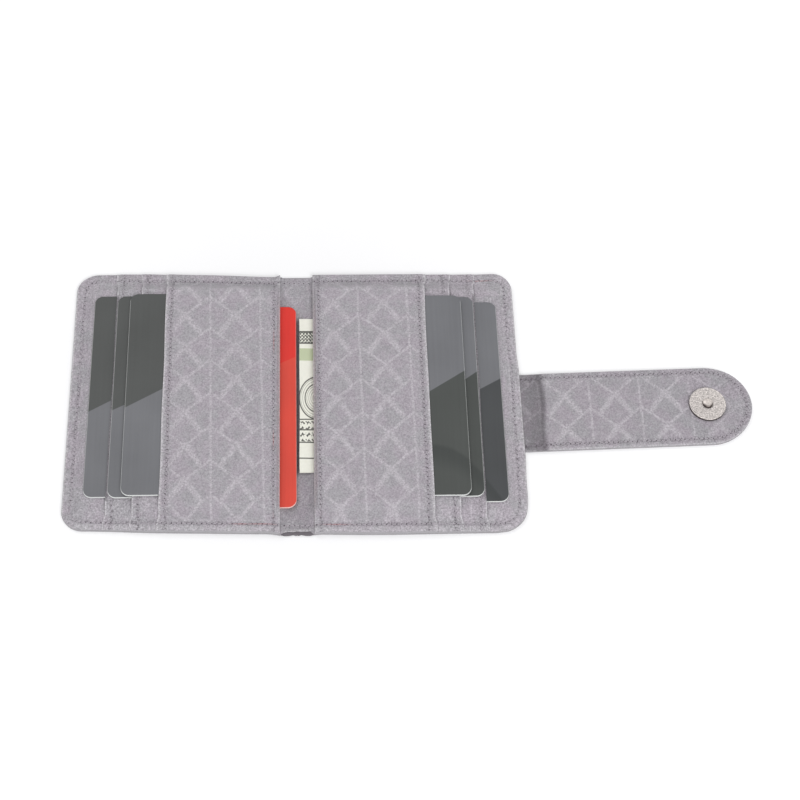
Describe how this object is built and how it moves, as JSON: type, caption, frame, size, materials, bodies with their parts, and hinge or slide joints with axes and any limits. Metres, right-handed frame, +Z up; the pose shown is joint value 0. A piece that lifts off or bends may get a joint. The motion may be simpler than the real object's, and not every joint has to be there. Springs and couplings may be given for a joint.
{
  "type": "card wallet",
  "caption": "Folding card wallet of printed leather, lying open: stepped card slots, hidden pockets towards the spine and a closing strap with a magnetic snap.",
  "frame": {"origin": "under the middle of the spine, on the face that the wallet lies on", "axes": "+X across the open wallet to the closing strap, +Y to its back edge, +Z up"},
  "size_m": [0.2566, 0.11, 0.0077],
  "materials": {
    "printed_leather": "matte, printed",
    "cover_leather": "matte",
    "lining_cloth": "matte",
    "stiff_board": "raw board",
    "grey_thread": "matte",
    "grey_card": "satin",
    "red_plastic": "satin",
    "note_paper": "matte",
    "nickel": "satin nickel",
    "magnet_metal": "dark"
  },
  "bodies": {
    "right_panel": {"right_cover": "cover_leather", "right_board": "stiff_board", "right_lining": "lining_cloth", "right_slot_backing": "printed_leather", "right_pocket_1": "printed_leather", "right_pocket_2": "printed_leather", "right_top_pocket": "printed_leather", "right_edge_thread": "grey_thread", "right_pocket_1_thread": "grey_thread", "right_pocket_2_thread": "grey_thread", "right_top_pocket_thread": "grey_thread", "right_mouth_thread": "grey_thread"},
    "spine": {"spine_cover": "cover_leather", "spine_lining": "printed_leather", "spine_thread_front": "grey_thread", "spine_thread_back": "grey_thread"},
    "left_panel": {"left_cover": "cover_leather", "left_board": "stiff_board", "left_lining": "lining_cloth", "left_slot_backing": "printed_leather", "left_pocket_1": "printed_leather", "left_pocket_2": "printed_leather", "left_top_pocket": "printed_leather", "left_edge_thread": "grey_thread", "left_pocket_1_thread": "grey_thread", "left_pocket_2_thread": "grey_thread", "left_top_pocket_thread": "grey_thread", "left_mouth_thread": "grey_thread", "socket_cup": "nickel", "socket_magnet": "magnet_metal", "socket_washer": "nickel"},
    "strap_side": {"strap_side_outer": "cover_leather", "strap_side_core": "stiff_board", "strap_side_inner": "printed_leather", "strap_side_thread_front": "grey_thread", "strap_side_thread_back": "grey_thread"},
    "strap_end": {"strap_end_outer": "cover_leather", "strap_end_core": "stiff_board", "strap_end_inner": "printed_leather", "strap_end_thread": "grey_thread", "snap_disc": "nickel", "snap_stud": "nickel", "snap_washer": "nickel"},
    "left_card_1": {"left_card_1": "grey_card"},
    "left_card_2": {"left_card_2": "grey_card"},
    "left_card_3": {"left_card_3": "grey_card"},
    "right_card_1": {"right_card_1": "grey_card"},
    "right_card_2": {"right_card_2": "grey_card"},
    "right_card_3": {"right_card_3": "grey_card"},
    "red_card": {"red_card": "red_plastic"},
    "banknote": {"banknote": "note_paper"}
  },
  "joints": [
    {"name": "spine_fold", "type": "hinge", "parent": "right_panel", "child": "spine", "pos_m": [0.00604, 0, 0.0019], "axis": [0, 1, 0], "range_deg": [0, 90], "deforming": ["spine_cover", "spine_lining", "spine_thread_front", "spine_thread_back"]},
    {"name": "cover_fold", "type": "hinge", "parent": "spine", "child": "left_panel", "pos_m": [-0.00604, 0, 0.0019], "axis": [0, 1, 0], "range_deg": [0, 90]},
    {"name": "strap_side_fold", "type": "hinge", "parent": "right_panel", "child": "strap_side", "pos_m": [0.08474, -0.0065, 0.002], "axis": [0, -1, 0], "range_deg": [0, 90]},
    {"name": "strap_end_fold", "type": "hinge", "parent": "strap_side", "child": "strap_end", "pos_m": [0.10012, -0.0065, 0.002], "axis": [0, -1, 0], "range_deg": [0, 90]},
    {"name": "left_card_1_slide", "type": "slide", "parent": "left_panel", "child": "left_card_1", "axis": [1, 0, 0], "range_m": [-0.046, 0]},
    {"name": "left_card_2_slide", "type": "slide", "parent": "left_panel", "child": "left_card_2", "axis": [1, 0, 0], "range_m": [-0.046, 0]},
    {"name": "left_card_3_slide", "type": "slide", "parent": "left_panel", "child": "left_card_3", "axis": [1, 0, 0], "range_m": [-0.046, 0]},
    {"name": "right_card_1_slide", "type": "slide", "parent": "right_panel", "child": "right_card_1", "axis": [-1, 0, 0], "range_m": [-0.046, 0]},
    {"name": "right_card_2_slide", "type": "slide", "parent": "right_panel", "child": "right_card_2", "axis": [-1, 0, 0], "range_m": [-0.046, 0]},
    {"name": "right_card_3_slide", "type": "slide", "parent": "right_panel", "child": "right_card_3", "axis": [-1, 0, 0], "range_m": [-0.046, 0]},
    {"name": "red_card_slide", "type": "slide", "parent": "left_panel", "child": "red_card", "axis": [-1, 0, 0], "range_m": [0, 0.0065]},
    {"name": "banknote_slide", "type": "slide", "parent": "right_panel", "child": "banknote", "axis": [1, 0, 0], "range_m": [0, 0.0056]}
  ],
  "couplings": [
    {"joint": "cover_fold", "follows": "spine_fold", "ratio": 1},
    {"joint": "red_card_slide", "follows": "spine_fold", "m_per_rad": 0.004074},
    {"joint": "banknote_slide", "follows": "spine_fold", "m_per_rad": 0.003501}
  ]
}
